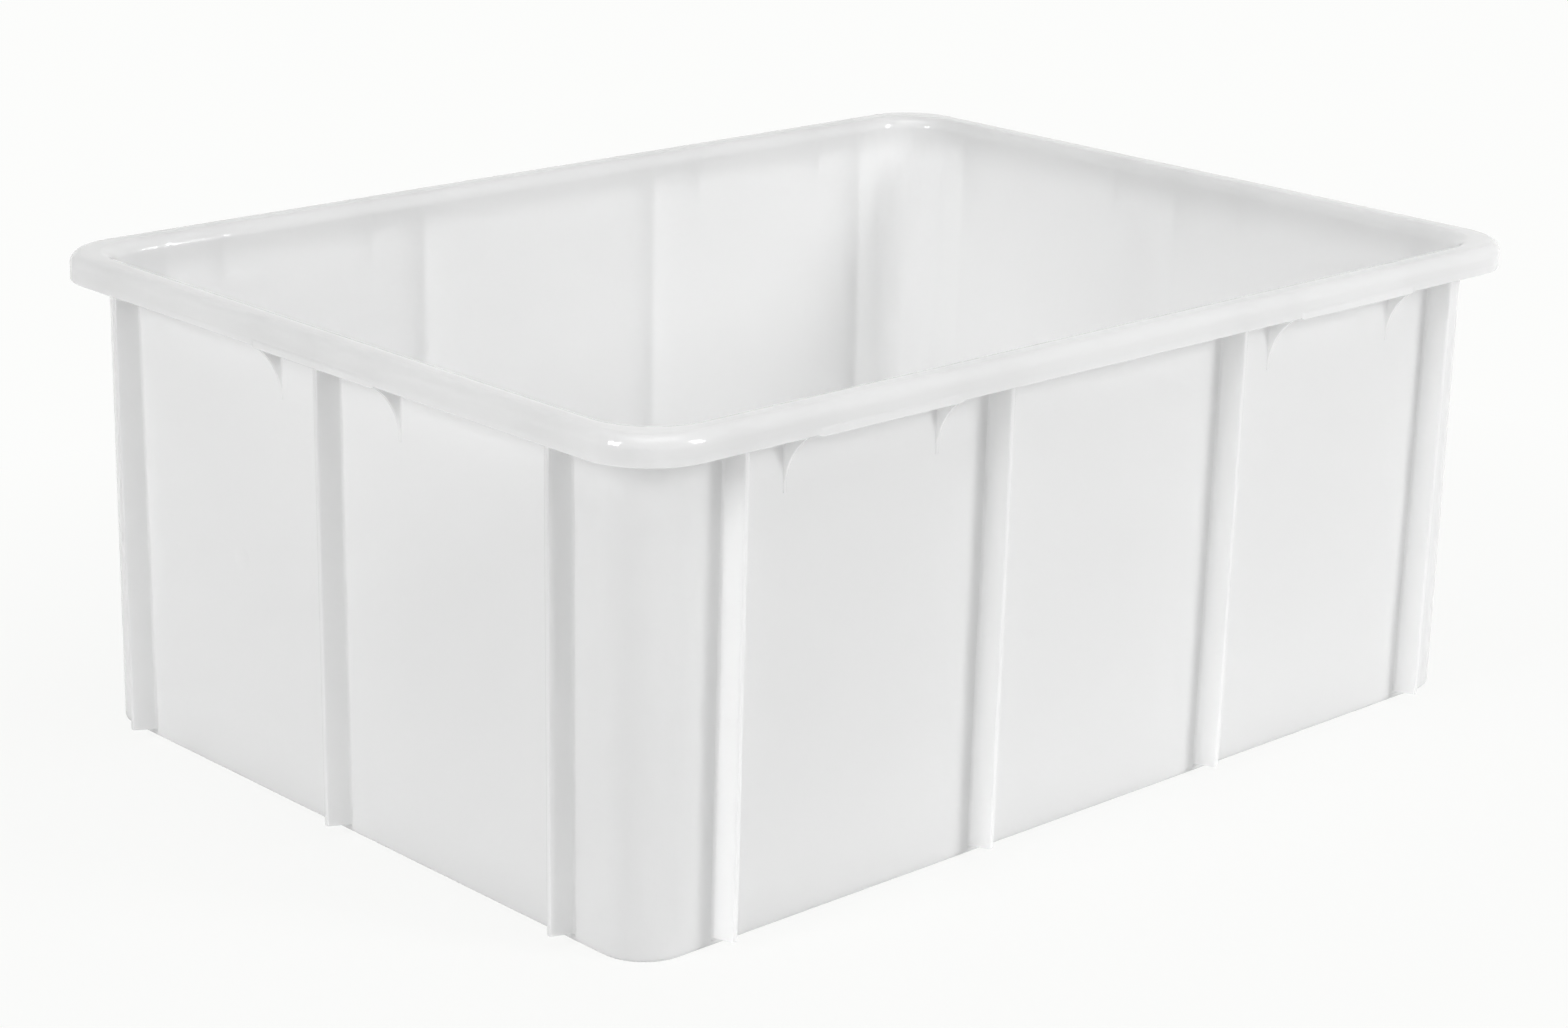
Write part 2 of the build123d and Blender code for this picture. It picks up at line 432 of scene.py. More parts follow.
def smooth_step(value, start, end):
    """0 below start, 1 above end, with an even turn between."""
    share = min(max((value - start) / (end - start), 0.0), 1.0)
    return share * share * (3 - 2 * share)


def lip_steps(sizes, wall):
    """Start and end of the deeper lip at each grip of a wall."""
    inset = sizes.grip_inset if WALLS[wall][1] == 0 else 0.0
    return [(start + inset, end) for start, end in grips(wall)]


def grip_share(sizes, wall, place):
    """1 along the deeper lip of a grip and 0 elsewhere."""
    half = -LIP_STEPS[0]
    return sum(
        smooth_step(place, start - half, start + half) - smooth_step(place, end - half, end + half)
        for start, end in lip_steps(sizes, wall)
    )


def wall_stations(sizes, wall):
    """Positions along a wall where the rings have points."""
    reach = (RIM_HALF_LENGTH if WALLS[wall][1] == 0 else RIM_HALF_WIDTH) - CORNER_REACH
    stations = set()
    for fin in places("rib", wall) + places("gusset", wall):
        stations.update(fin + step for step in FIN_STEPS)
    for ends in lip_steps(sizes, wall):
        stations.update(end + step for end in ends for step in LIP_STEPS)
    count = round(2 * reach / STATION_SPACING)
    for step in range(count + 1):
        place = -reach + 2 * reach * step / count
        if all(abs(place - other) > CROWDED for other in stations):
            stations.add(place)
    even = []
    for place in sorted(stations):
        if not even or place - even[-1] > STATION_GAP:
            even.append(place)
    return even


def sink_mark(sizes, wall, place, height):
    """How far the inside sinks behind the ribs and gussets of a wall."""
    depth = 0.0
    for rib in places("rib", wall):
        depth += sizes.rib_sink * math.exp(-((place - rib) / sizes.rib_sink_width) ** 2)
    gusset_start = LIP_LEVEL - sizes.gusset_fall
    fade = smooth_step(height, gusset_start, LIP_LEVEL)
    for gusset in places("gusset", wall):
        depth += fade * sizes.gusset_sink * math.exp(-((place - gusset) / sizes.gusset_sink_width) ** 2)
    return depth


def wall_run(ring, sizes, wall, stations):
    """Points of one ring along one wall."""
    points = []
    along_x = WALLS[wall][1] == 0
    sign = -1 if wall in ("front", "left") else 1
    for place in stations:
        share = grip_share(sizes, wall, place) if ring.drop or ring.proud else 0.0
        out = -ring.proud * (1 - share) * sizes.grip_proud
        if ring.sink:
            out += ring.sink * sink_mark(sizes, wall, place, ring.height)
        height = ring.height - ring.drop * share * sizes.grip_drop
        if along_x:
            points.append(Vector((place, sign * (ring.width + out), height)))
        else:
            points.append(Vector((sign * (ring.length + out), place, height)))
    return points


def ring_points(ring, sizes, stations):
    """Points of one ring, anticlockwise from the front wall's left end."""
    runs = [wall_run(ring, sizes, wall, stations[wall]) for wall in ("front", "right", "back", "left")]
    runs[2].reverse()
    runs[3].reverse()
    corners = [(1, -1, -90), (1, 1, 0), (-1, 1, 90), (-1, -1, 180)]
    inset = ring.proud * sizes.grip_proud
    points = []
    for run, (sign_x, sign_y, start) in zip(runs, corners):
        points.extend(run)
        centre = (sign_x * (ring.length - ring.radius), sign_y * (ring.width - ring.radius))
        for x, y in arc(centre, ring.radius - inset, start, start + 90, sizes.corner_steps):
            points.append(Vector((x, y, ring.height)))
    return points


def mesh_object(name, mesh):
    """Puts a mesh in the scene as an object at the origin."""
    piece = bpy.data.objects.new(name, mesh)
    bpy.context.scene.collection.objects.link(piece)
    return piece


def loft(shape, loops, name):
    """Joins loops of points into a closed mesh that faces outwards."""
    for lower, upper in zip(loops, loops[1:]):
        for index in range(len(lower)):
            following = (index + 1) % len(lower)
            shape.faces.new((lower[index], lower[following], upper[following], upper[index]))
    shape.faces.new(loops[0][::-1])
    shape.faces.new(loops[-1])
    bmesh.ops.recalc_face_normals(shape, faces=shape.faces)
    mesh = bpy.data.meshes.new(name)
    shape.to_mesh(mesh)
    shape.free()
    return mesh


def add_fins(piece):
    """Sets a row of ribs or gussets aside, to be fused with the shell."""
    if FINS not in bpy.data.collections:
        bpy.data.collections.new(FINS)
    bpy.data.collections[FINS].objects.link(piece)


class BIN_OT_shell(bpy.types.Operator):
    """Builds the floor, walls, corners and rolled rim as one smooth skin"""

    bl_idname = "bin.shell"
    bl_label = "Shell and rim"

    def execute(self, context):
        sizes = context.scene.bin_sizes
        stations = {wall: wall_stations(sizes, wall) for wall in WALLS}
        rings = outer_wall_rings(sizes) + rim_rings(sizes) + inner_wall_rings(sizes)
        shape = bmesh.new()
        loops = [[shape.verts.new(point) for point in ring_points(ring, sizes, stations)] for ring in rings]
        mesh_object(SHELL, loft(shape, loops, SHELL))
        return {"FINISHED"}


# Ribs and gussets start this far inside the wall, and bite this far into the rim's skin and the lip, so that
# they fuse. Their root fillets are centred at this share of their radius from the wall, so they bite too.
ROOT_SINK = 0.0008
RIM_BITE = 0.0005
LIP_BITE = 0.0007
ROOT_BITE = 0.96
# How far a gusset stands out where it begins.
GUSSET_TIP = 0.0003
# The largest root fillet and edge round, as shares of a section's depth and of its edge.
ROOT_SHARE = 0.45
EDGE_DEPTH_SHARE = 0.3
EDGE_SHARE = 0.48
# Faces round the fillets and edges of ribs and gussets, and levels up each of them.
ROOT_STEPS = 6
EDGE_STEPS = 4
RIB_END_STEPS = 3
RIB_LEVELS = 4
GUSSET_LEVELS = 14


def fin_section(thickness, edge_thickness, depth, fillet, edge_round, sink):
    """Outline of a rib or gusset cut level: (along the wall, out from the wall), flared at its root."""
    root = min(fillet, depth * ROOT_SHARE)
    rounding = min(edge_round, depth * EDGE_DEPTH_SHARE, edge_thickness * EDGE_SHARE)
    half_root = thickness / 2
    half_edge = edge_thickness / 2
    right = [(half_root + root, -sink)]
    right += arc((half_root + root, root * ROOT_BITE), root, 270, 180, ROOT_STEPS)
    right += arc((half_edge - rounding, depth - rounding), rounding, 0, 90, EDGE_STEPS)
    left = [(-along, out) for along, out in reversed(right)]
    return right + left


def fin_mesh(name, levels):
    """Lofts level sections of a rib or gusset, given as (section, heights), into a closed mesh."""
    shape = bmesh.new()
    loops = []
    for section, heights in levels:
        loop = []
        for (along, out), height in zip(section, heights):
            lean = WALL_SLOPE * min(height, LIP_LEVEL)
            loop.append(shape.verts.new((along, -out - lean, height)))
        loops.append(loop)
    return loft(shape, loops, name)


def fin_top(sizes):
    """Height just inside the rim's skin, where ribs and gussets end."""
    return BIN_HEIGHT - sizes.rim_skin + RIM_BITE


def rib_mesh(sizes):
    """One rib, standing on the front wall at the middle of the bin, measured from the base's edge."""
    def section(inset):
        return fin_section(
            sizes.rib_thickness - 2 * inset, sizes.rib_edge_thickness - 2 * inset, sizes.rib_depth - inset,
            sizes.root_fillet, sizes.fin_edge_round, ROOT_SINK,
        )

    def end_height(out):
        return sizes.rib_end_height - sizes.rib_end_fall * (1 - out / sizes.rib_depth)

    levels = []
    rounding = sizes.fin_edge_round
    for inset, rise in arc((rounding, rounding), rounding, 270, 180, RIB_END_STEPS):
        outline = section(inset)
        levels.append((outline, [end_height(out) + rise for _, out in outline]))
    top = fin_top(sizes)
    lowest = sizes.rib_end_height + rounding
    full = section(0.0)
    for step in range(1, RIB_LEVELS + 1):
        share = step / RIB_LEVELS
        levels.append((full, [lowest + (top - lowest) * share] * len(full)))
    return fin_mesh("rib", levels)


def gusset_mesh(sizes):
    """One gusset, with a hollow curve that leaves the wall upright and reaches out to the lip."""
    overhang = RIM_HALF_LENGTH - WALL_TOP_HALF_LENGTH
    reach = overhang - sizes.gusset_setback
    fall = sizes.gusset_fall
    radius = (reach * reach + fall * fall) / (2 * reach)
    sweep = math.degrees(math.asin(fall / radius))
    levels = []
    for step in range(GUSSET_LEVELS + 1):
        angle = math.radians(sweep * step / GUSSET_LEVELS)
        depth = max(radius * (1 - math.cos(angle)), GUSSET_TIP)
        levels.append((depth, LIP_LEVEL - fall + radius * math.sin(angle)))
    channel = overhang - sizes.rim_skin + LIP_BITE
    levels += [(reach, LIP_LEVEL + LIP_BITE), (channel, LIP_LEVEL + 2 * LIP_BITE), (channel, fin_top(sizes))]
    sections = []
    for depth, height in levels:
        outline = fin_section(
            sizes.gusset_thickness, sizes.gusset_edge_thickness, depth, sizes.gusset_fillet,
            sizes.gusset_edge_round, ROOT_SINK,
        )
        sections.append((outline, [height] * len(outline)))
    return fin_mesh("gusset", sections)


def add_input(tree, name, kind, default=None):
    """Adds a named input to a node group."""
    socket = tree.interface.new_socket(name, in_out="INPUT", socket_type=kind)
    if default is not None:
        socket.default_value = default
    return socket


def row_tree():
    """Geometry nodes that repeat one piece in a straight row along a wall."""
    tree = bpy.data.node_groups.new("Row along a wall", "GeometryNodeTree")
    add_input(tree, "Piece", "NodeSocketObject")
    add_input(tree, "Count", "NodeSocketInt", 2)
    add_input(tree, "First", "NodeSocketVector")
    add_input(tree, "Step", "NodeSocketVector")
    add_input(tree, "Turn", "NodeSocketFloat", 0.0)
    add_input(tree, "Material", "NodeSocketMaterial")
    tree.interface.new_socket("Geometry", in_out="OUTPUT", socket_type="NodeSocketGeometry")
    nodes = tree.nodes
    links = tree.links
    given = nodes.new("NodeGroupInput")
    line = nodes.new("GeometryNodeMeshLine")
    line.mode = "OFFSET"
    piece = nodes.new("GeometryNodeObjectInfo")
    turn = nodes.new("ShaderNodeCombineXYZ")
    place = nodes.new("GeometryNodeInstanceOnPoints")
    realize = nodes.new("GeometryNodeRealizeInstances")
    paint = nodes.new("GeometryNodeSetMaterial")
    result = nodes.new("NodeGroupOutput")
    links.new(given.outputs["Count"], line.inputs["Count"])
    links.new(given.outputs["First"], line.inputs["Start Location"])
    links.new(given.outputs["Step"], line.inputs["Offset"])
    links.new(given.outputs["Piece"], piece.inputs["Object"])
    links.new(given.outputs["Turn"], turn.inputs["Z"])
    links.new(line.outputs["Mesh"], place.inputs["Points"])
    links.new(piece.outputs["Geometry"], place.inputs["Instance"])
    links.new(turn.outputs["Vector"], place.inputs["Rotation"])
    links.new(place.outputs["Instances"], realize.inputs["Geometry"])
    links.new(realize.outputs["Geometry"], paint.inputs["Geometry"])
    links.new(given.outputs["Material"], paint.inputs["Material"])
    links.new(paint.outputs["Geometry"], result.inputs["Geometry"])
    return tree


def input_key(tree, name):
    """Identifier of a node group's input."""
    return next(item.identifier for item in tree.interface.items_tree
                if item.name == name and item.in_out == "INPUT")


def row_of(name, tree, pattern, wall, stands, material):
    """Repeats a pattern piece at even steps along a wall and returns the row as a plain mesh object."""
    turn, axis = WALLS[wall]
    spin = Matrix.Rotation(math.radians(turn), 3, "Z")
    outward = spin @ Vector((0, -1, 0))
    along = Vector((1, 0, 0)) if axis == 0 else Vector((0, 1, 0))
    foot = half_width(0) if axis == 0 else half_length(0)
    first = outward * foot + along * stands[0]
    step = along * ((stands[-1] - stands[0]) / (len(stands) - 1))
    holder = mesh_object(name + "_row", bpy.data.meshes.new(name + "_row"))
    modifier = holder.modifiers.new("Row", "NODES")
    modifier.node_group = tree
    modifier[input_key(tree, "Piece")] = pattern
    modifier[input_key(tree, "Count")] = len(stands)
    modifier[input_key(tree, "First")] = first
    modifier[input_key(tree, "Step")] = step
    modifier[input_key(tree, "Turn")] = math.radians(turn)
    modifier[input_key(tree, "Material")] = material
    mesh = plain_mesh(holder, name)
    bpy.data.objects.remove(holder)
    return mesh_object(name, mesh)


class BIN_OT_ribs(bpy.types.Operator):
    """Builds the upright ribs in a row on each wall"""

    bl_idname = "bin.ribs"
    bl_label = "Ribs"

    def execute(self, context):
        pattern = mesh_object("rib_pattern", rib_mesh(context.scene.bin_sizes))
        material = white_polyethylene(context.scene.bin_look)
        tree = row_tree()
        for wall in WALLS:
            add_fins(row_of(f"ribs_{wall}", tree, pattern, wall, places("rib", wall), material))
        bpy.data.objects.remove(pattern)
        return {"FINISHED"}


class BIN_OT_gussets(bpy.types.Operator):
    """Builds the pair of gussets beside each hand grip"""

    bl_idname = "bin.gussets"
    bl_label = "Gussets"

    def execute(self, context):
        pattern = mesh_object("gusset_pattern", gusset_mesh(context.scene.bin_sizes))
        material = white_polyethylene(context.scene.bin_look)
        tree = row_tree()
        for wall in WALLS:
            for number, grip in enumerate(grips(wall), start=1):
                add_fins(row_of(f"gussets_{wall}_{number}", tree, pattern, wall, grip, material))
        bpy.data.objects.remove(pattern)
        return {"FINISHED"}


# The dimple's rings as shares of its radius, from outside the wall to its middle, the points round each ring,
# and how far its cutter stands clear of the wall, in depths.
DIMPLE_RINGS = (1.3, 1.15, 1.0, 0.9, 0.75, 0.6, 0.45, 0.3, 0.15)
DIMPLE_POINTS = 40
DIMPLE_CLEAR = 4


def dimple_mesh(sizes, place):
    """A shallow dish, to be cut from the left wall halfway up, with its middle at a place along the wall."""
    shape = bmesh.new()
    loops = []
    for share in DIMPLE_RINGS:
        radius = sizes.dimple_radius * share
        inward = sizes.dimple_depth * (1 - share * share)
        loop = []
        for step in range(DIMPLE_POINTS):
            angle = math.tau * step / DIMPLE_POINTS
            along = place + radius * math.cos(angle)
            height = LIP_LEVEL / 2 + radius * math.sin(angle)
            loop.append(shape.verts.new((inward - half_length(height), along, height)))
        loops.append(loop)
    clear = DIMPLE_CLEAR * sizes.dimple_depth
    lid = [shape.verts.new(vertex.co - Vector((clear, 0, 0))) for vertex in loops[0]]
    return loft(shape, [lid] + loops, "dimple")


def plain_mesh(piece, name):
    """The piece's mesh with its modifiers applied."""
    depsgraph = bpy.context.evaluated_depsgraph_get()
    mesh = bpy.data.meshes.new_from_object(piece.evaluated_get(depsgraph))
    mesh.name = name
    return mesh


# Points closer than this are one point.
MERGE_DISTANCE = 0.000005


def clean_mesh(mesh):
    """Removes doubled points and faces without area."""
    shape = bmesh.new()
    shape.from_mesh(mesh)
    bmesh.ops.remove_doubles(shape, verts=shape.verts, dist=MERGE_DISTANCE)
    bmesh.ops.dissolve_degenerate(shape, edges=shape.edges, dist=MERGE_DISTANCE)
    shape.to_mesh(mesh)
    shape.free()


class BIN_OT_moulding(bpy.types.Operator):
    """Fuses the shell, ribs and gussets into one moulding with even normals"""

    bl_idname = "bin.moulding"
    bl_label = "Moulding"

    def execute(self, context):
        shell = bpy.data.objects[SHELL]
        ribs = places("rib", "left")
        dimple = mesh_object("dimple", dimple_mesh(context.scene.bin_sizes, (ribs[1] + ribs[2]) / 2))
        dish = shell.modifiers.new("Dimple", "BOOLEAN")
        dish.operation = "DIFFERENCE"
        dish.solver = "EXACT"
        dish.object = dimple
        fuse = shell.modifiers.new("Fuse", "BOOLEAN")
        fuse.operation = "UNION"
        fuse.solver = "EXACT"
        fuse.operand_type = "COLLECTION"
        fuse.collection = bpy.data.collections[FINS]
        moulding = mesh_object("bin_moulding", plain_mesh(shell, "bin_moulding"))
        for part in [shell, dimple, *bpy.data.collections[FINS].objects]:
            bpy.data.objects.remove(part)
        bpy.data.collections.remove(bpy.data.collections[FINS])
        clean_mesh(moulding.data)
        moulding.data.shade_smooth()
        moulding.modifiers.new("Even normals", "WEIGHTED_NORMAL")
        moulding.data = plain_mesh(moulding, "bin_moulding")
        moulding.modifiers.clear()
        moulding.data.materials.clear()
        moulding.data.materials.append(white_polyethylene(context.scene.bin_look))
        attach(moulding, BODY)
        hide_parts(*frame["nodes"])
        return {"FINISHED"}


# How the plastic bends and mirrors light.
PLASTIC_IOR = 1.5
PLASTIC_SPECULAR = 0.5
# Clouds in the plastic: scale and detail of the pattern, the darkest share of the colour, and how much
# smoother and rougher than the look's roughness they are.
CLOUD_SCALE = 9.0
CLOUD_DETAIL = 3.0
CLOUD_SHADE = 0.985
CLOUD_SMOOTHER = 0.04
CLOUD_ROUGHER = 0.05
# Fine grain of the mould on the walls: scale and detail of the pattern, its strength and its depth in metres.
GRAIN_SCALE = 900.0
GRAIN_DETAIL = 2.0
GRAIN_STRENGTH = 0.08
GRAIN_DEPTH = 0.0004
# Height of the band below the rim's top that is smoother than the grained walls, the height over which it
# gets so, and its share of their roughness.
POLISHED_RIM = 0.028
POLISH_FADE = 0.006
RIM_POLISH = 0.3


def noise(nodes, links, place, scale, detail):
    """A soft pattern fixed to the bin, from 0 to 1."""
    pattern = nodes.new("ShaderNodeTexNoise")
    pattern.inputs["Scale"].default_value = scale
    pattern.inputs["Detail"].default_value = detail
    links.new(place.outputs["Object"], pattern.inputs["Vector"])
    return pattern.outputs["Fac"]


def joined(nodes, links, operation, first, second):
    """Two node values put together by a step of arithmetic."""
    result = nodes.new("ShaderNodeMath")
    result.operation = operation
    links.new(first, result.inputs[0])
    links.new(second, result.inputs[1])
    return result.outputs[0]


def scaled(nodes, links, value, factor, offset=0.0):
    """A node value times a factor, plus an offset."""
    result = nodes.new("ShaderNodeMath")
    result.operation = "MULTIPLY_ADD"
    links.new(value, result.inputs[0])
    result.inputs[1].default_value = factor
    result.inputs[2].default_value = offset
    return result.outputs[0]


def white_polyethylene(look):
    """Satin white moulded plastic that lets a little light through, with a faint grain."""
    name = "White polyethylene"
    if name in bpy.data.materials:
        return bpy.data.materials[name]
    material = bpy.data.materials.new(name)
    material.use_nodes = True
    nodes = material.node_tree.nodes
    links = material.node_tree.links
    shader = nodes["Principled BSDF"]
    shader.inputs["IOR"].default_value = PLASTIC_IOR
    shader.inputs["Specular IOR Level"].default_value = PLASTIC_SPECULAR
    shader.inputs["Subsurface Weight"].default_value = 1.0
    shader.inputs["Subsurface Radius"].default_value = (1.0, 1.0, 1.0)
    shader.inputs["Subsurface Scale"].default_value = look.scatter_depth
    place = nodes.new("ShaderNodeTexCoord")

    cloud = noise(nodes, links, place, CLOUD_SCALE, CLOUD_DETAIL)
    tint = nodes.new("ShaderNodeMix")
    tint.data_type = "RGBA"
    tint.inputs["A"].default_value = (*(share * CLOUD_SHADE for share in look.plastic_colour), 1)
    tint.inputs["B"].default_value = (*look.plastic_colour, 1)
    links.new(cloud, tint.inputs["Factor"])
    links.new(tint.outputs["Result"], shader.inputs["Base Color"])

    sheen = nodes.new("ShaderNodeMapRange")
    sheen.inputs["To Min"].default_value = look.roughness - CLOUD_SMOOTHER
    sheen.inputs["To Max"].default_value = look.roughness + CLOUD_ROUGHER
    links.new(cloud, sheen.inputs["Value"])
    height = nodes.new("ShaderNodeSeparateXYZ")
    links.new(place.outputs["Object"], height.inputs["Vector"])
    polish = nodes.new("ShaderNodeMapRange")
    polish.inputs["From Min"].default_value = BIN_HEIGHT - POLISHED_RIM
    polish.inputs["From Max"].default_value = BIN_HEIGHT - POLISHED_RIM + POLISH_FADE
    polish.inputs["To Min"].default_value = 1.0
    polish.inputs["To Max"].default_value = RIM_POLISH
    links.new(height.outputs["Z"], polish.inputs["Value"])
    finish = joined(nodes, links, "MULTIPLY", sheen.outputs["Result"], polish.outputs["Result"])
    links.new(finish, shader.inputs["Roughness"])

    bump = nodes.new("ShaderNodeBump")
    bump.inputs["Distance"].default_value = GRAIN_DEPTH
    links.new(scaled(nodes, links, polish.outputs["Result"], GRAIN_STRENGTH), bump.inputs["Strength"])
    links.new(noise(nodes, links, place, GRAIN_SCALE, GRAIN_DETAIL), bump.inputs["Height"])
    links.new(bump.outputs["Normal"], shader.inputs["Normal"])
    return material


# Camera, worked out from the edges of the bin in the photograph, in metres and degrees.
CAMERA_TARGET = Vector((-0.0165, -0.0064, 0.1197))
CAMERA_AZIMUTH = -43.53
CAMERA_ELEVATION = 17.44
CAMERA_ROLL = 1.31
CAMERA_DISTANCE = 2.0768
CAMERA_LENS = 80.85
SENSOR_WIDTH = 36.0
FARTHEST_SEEN = 50.0


def view_axes():
    """Right, up and back of the camera before its roll."""
    azimuth = math.radians(CAMERA_AZIMUTH)
    elevation = math.radians(CAMERA_ELEVATION)
    back = Vector((
        math.sin(azimuth) * math.cos(elevation),
        -math.cos(azimuth) * math.cos(elevation),
        math.sin(elevation),
    ))
    right = Vector((math.cos(azimuth), math.sin(azimuth), 0))
    return right, back.cross(right), back


def add_camera():
    """Places the camera where the photograph was taken from."""
    right, up, back = view_axes()
    roll = math.radians(CAMERA_ROLL)
    right, up = right * math.cos(roll) + up * math.sin(roll), up * math.cos(roll) - right * math.sin(roll)
    lens = bpy.data.cameras.new("camera")
    lens.sensor_fit = "HORIZONTAL"
    lens.sensor_width = SENSOR_WIDTH
    lens.lens = CAMERA_LENS
    lens.clip_end = FARTHEST_SEEN
    camera = bpy.data.objects.new("camera", lens)
    turn = Matrix((right, up, back)).transposed().to_4x4()
    camera.matrix_world = Matrix.Translation(CAMERA_TARGET + back * CAMERA_DISTANCE) @ turn
    bpy.context.scene.collection.objects.link(camera)
    bpy.context.scene.camera = camera


# Lamps: name, azimuth and elevation in degrees, distance, width and height in metres, power in watts, and
# whether the plastic mirrors them.
SOFTBOXES = (
    ("softbox_left", 185.0, 25.0, 3.0, 0.8, 1.3, 33.6, True),
    ("softbox_right", 294.0, 25.0, 3.2, 0.9, 1.3, 45.8, True),
    ("softbox_top", 240.0, 72.0, 2.3, 1.6, 1.6, 16.0, True),
    ("back_left", 80.0, 12.0, 2.2, 1.4, 1.2, 13.0, False),
    ("back_right", 8.0, 13.0, 2.2, 1.6, 1.2, 11.8, False),
    ("back_corner", 46.0, 8.0, 1.8, 0.9, 0.9, 5.4, False),
)
# Painted glow: light that the floor gives off round the bin to bounced rays only, standing in for light that
# a brightly lit floor gives back; how far it spreads along X and Y in metres, and the share of the floor's
# own shading that shows next to the bin.
PAINTED_FLOOR_GLOW = 0.945
FLOOR_SPREAD = (0.87, 0.71)
FLOOR_SHADING = 0.2
# Painted shade in the floor's glow, where the bin's foot would shadow the floor: the share of the glow left
# at the foot, and how far out it is whole.
FOOT_SHARE = 0.15
FOOT_REACH = 0.035
# The floor's own colour, roughness and half its size in metres.
FLOOR_GREY = (0.9, 0.9, 0.9, 1)
FLOOR_ROUGHNESS = 0.9
FLOOR_REACH = 12.0


def direction_at(azimuth, elevation):
    """Unit vector towards an azimuth and elevation in degrees."""
    level = math.cos(math.radians(elevation))
    azimuth = math.radians(azimuth)
    return Vector((level * math.cos(azimuth), level * math.sin(azimuth), math.sin(math.radians(elevation))))


def add_softbox(name, azimuth, elevation, distance, width, height, power, mirrored):
    """A large flat lamp that shines on the bin from a direction."""
    lamp = bpy.data.lights.new(name, "AREA")
    lamp.shape = "RECTANGLE"
    lamp.size = width
    lamp.size_y = height
    lamp.energy = power
    holder = bpy.data.objects.new(name, lamp)
    middle = Vector((0, 0, BIN_HEIGHT / 2))
    place = middle + direction_at(azimuth, elevation) * distance
    holder.location = place
    holder.rotation_euler = (middle - place).to_track_quat("-Z", "Y").to_euler()
    holder.visible_glossy = mirrored
    bpy.context.scene.collection.objects.link(holder)


def seen_directly(nodes, links):
    """1 for camera, mirror and see-through rays, 0 for light that bounces."""
    path = nodes.new("ShaderNodeLightPath")
    total = path.outputs["Is Camera Ray"]
    for other in ("Is Glossy Ray", "Is Transmission Ray"):
        total = joined(nodes, links, "MAXIMUM", total, path.outputs[other])
    return total


def studio_world(look):
    """Soft light all round, with a pale background."""
    world = bpy.data.worlds.new("studio")
    bpy.context.scene.world = world
    world.use_nodes = True
    nodes = world.node_tree.nodes
    links = world.node_tree.links
    background = nodes["Background"]
    background.inputs["Color"].default_value = (1, 1, 1, 1)
    background.inputs["Strength"].default_value = look.ambient
    pale = nodes.new("ShaderNodeBackground")
    pale.inputs["Color"].default_value = (*look.floor_colour, 1)
    pale.inputs["Strength"].default_value = 1.0
    mix = nodes.new("ShaderNodeMixShader")
    links.new(seen_directly(nodes, links), mix.inputs[0])
    links.new(background.outputs[0], mix.inputs[1])
    links.new(pale.outputs[0], mix.inputs[2])
    links.new(mix.outputs[0], nodes["World Output"].inputs["Surface"])


def floor_spot(nodes, links, kind):
    """1 in the middle of the floor, falling to 0 away from the bin."""
    place = nodes.new("ShaderNodeTexCoord")
    spread = nodes.new("ShaderNodeMapping")
    spread.inputs["Scale"].default_value = (1 / FLOOR_SPREAD[0], 1 / FLOOR_SPREAD[1], 1)
    spot = nodes.new("ShaderNodeTexGradient")
    spot.gradient_type = kind
    links.new(place.outputs["Object"], spread.inputs["Vector"])
    links.new(spread.outputs["Vector"], spot.inputs["Vector"])
    return spot.outputs["Fac"]


def painted_foot_shade(nodes, links):
    """Painted shade in the floor's glow: rises from a small share under the bin to 1 a little way out from
    its foot.
    """
    place = nodes.new("ShaderNodeTexCoord")
    parts = nodes.new("ShaderNodeSeparateXYZ")
    links.new(place.outputs["Object"], parts.inputs[0])
    outside = []
    for axis, half in (("X", FLOOR_HIGH.x), ("Y", FLOOR_HIGH.y)):
        size = nodes.new("ShaderNodeMath")
        size.operation = "ABSOLUTE"
        links.new(parts.outputs[axis], size.inputs[0])
        outside.append(scaled(nodes, links, size.outputs[0], 1.0, -half))
    rise = nodes.new("ShaderNodeMapRange")
    rise.interpolation_type = "SMOOTHSTEP"
    rise.inputs["From Max"].default_value = FOOT_REACH
    rise.inputs["To Min"].default_value = FOOT_SHARE
    links.new(joined(nodes, links, "MAXIMUM", *outside), rise.inputs["Value"])
    return rise.outputs["Result"]


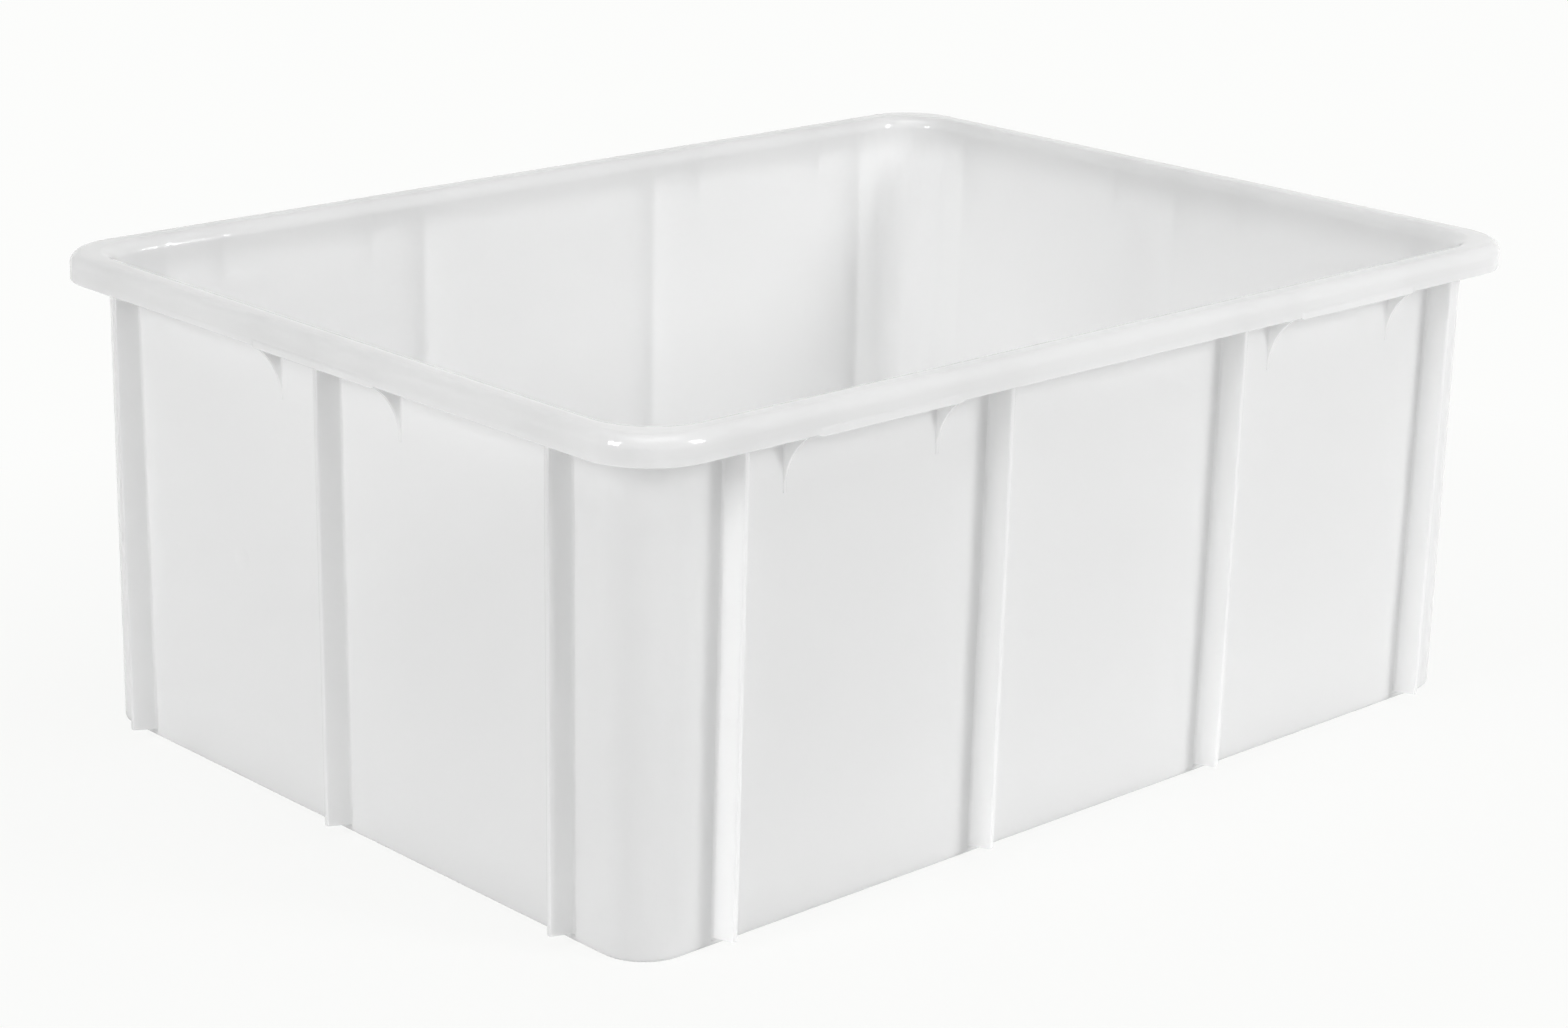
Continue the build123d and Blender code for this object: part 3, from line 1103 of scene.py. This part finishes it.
def studio_floor_material(look):
    """Pale floor that is as bright as the background and still takes the bin's shadow, with a painted glow
    that lights the bin from below.
    """
    material = bpy.data.materials.new("Studio floor")
    material.use_nodes = True
    nodes = material.node_tree.nodes
    links = material.node_tree.links
    shader = nodes["Principled BSDF"]
    shader.inputs["Base Color"].default_value = FLOOR_GREY
    shader.inputs["Roughness"].default_value = FLOOR_ROUGHNESS
    shader.inputs["Emission Color"].default_value = (1, 1, 1, 1)
    seen = seen_directly(nodes, links)
    # Painted glow: the floor gives off light only to rays that bounce, so the camera never sees it.
    unseen = scaled(nodes, links, seen, -PAINTED_FLOOR_GLOW, PAINTED_FLOOR_GLOW)
    glow = joined(nodes, links, "MULTIPLY", floor_spot(nodes, links, "QUADRATIC_SPHERE"), unseen)
    # Painted shade: the floor's glow is cut down next to the bin's foot.
    glow = joined(nodes, links, "MULTIPLY", glow, painted_foot_shade(nodes, links))
    links.new(glow, shader.inputs["Emission Strength"])
    pale = nodes.new("ShaderNodeEmission")
    pale.inputs["Color"].default_value = (*look.floor_colour, 1)
    pale.inputs["Strength"].default_value = 1.0
    paleness = scaled(nodes, links, floor_spot(nodes, links, "SPHERICAL"), -FLOOR_SHADING, 1.0)
    mix = nodes.new("ShaderNodeMixShader")
    links.new(joined(nodes, links, "MULTIPLY", seen, paleness), mix.inputs[0])
    links.new(shader.outputs[0], mix.inputs[1])
    links.new(pale.outputs[0], mix.inputs[2])
    links.new(mix.outputs[0], nodes["Material Output"].inputs["Surface"])
    return material


class BIN_OT_stage(bpy.types.Operator):
    """Sets up the floor, the light and the camera"""

    bl_idname = "bin.stage"
    bl_label = "Stage"

    def execute(self, context):
        look = context.scene.bin_look
        context.scene.view_settings.view_transform = "Standard"
        mesh = bpy.data.meshes.new("studio_floor")
        corners = [(x * FLOOR_REACH, y * FLOOR_REACH, 0) for x, y in ((-1, -1), (1, -1), (1, 1), (-1, 1))]
        mesh.from_pydata(corners, [], [(0, 1, 2, 3)])
        floor = mesh_object("studio_floor", mesh)
        floor.data.materials.append(studio_floor_material(look))
        studio_world(look)
        for softbox in SOFTBOXES:
            add_softbox(*softbox)
        add_camera()
        return {"FINISHED"}


class BIN_PT_panel(bpy.types.Panel):
    """Lists the bin's pieces and sizes"""

    bl_idname = "BIN_PT_panel"
    bl_label = "Stacking bin"
    bl_space_type = "VIEW_3D"
    bl_region_type = "UI"
    bl_category = "Bin"

    def draw(self, context):
        layout = self.layout
        for operator in OPERATORS:
            layout.operator(operator.bl_idname)
        for group in (context.scene.bin_sizes, context.scene.bin_look):
            box = layout.box()
            for name in group.__annotations__:
                box.prop(group, name)


OPERATORS = (BIN_OT_shell, BIN_OT_ribs, BIN_OT_gussets, BIN_OT_moulding, BIN_OT_stage)
CLASSES = (BinSizes, BinLook, *OPERATORS, BIN_PT_panel)


def register():
    for item in CLASSES:
        bpy.utils.register_class(item)
    bpy.types.Scene.bin_sizes = PointerProperty(type=BinSizes)
    bpy.types.Scene.bin_look = PointerProperty(type=BinLook)


def unregister():
    del bpy.types.Scene.bin_look
    del bpy.types.Scene.bin_sizes
    for item in reversed(CLASSES):
        bpy.utils.unregister_class(item)


def main():
    register()
    bpy.ops.bin.shell()
    bpy.ops.bin.ribs()
    bpy.ops.bin.gussets()
    bpy.ops.bin.moulding()
    bpy.ops.bin.stage()


if __name__ == "__main__":
    main()
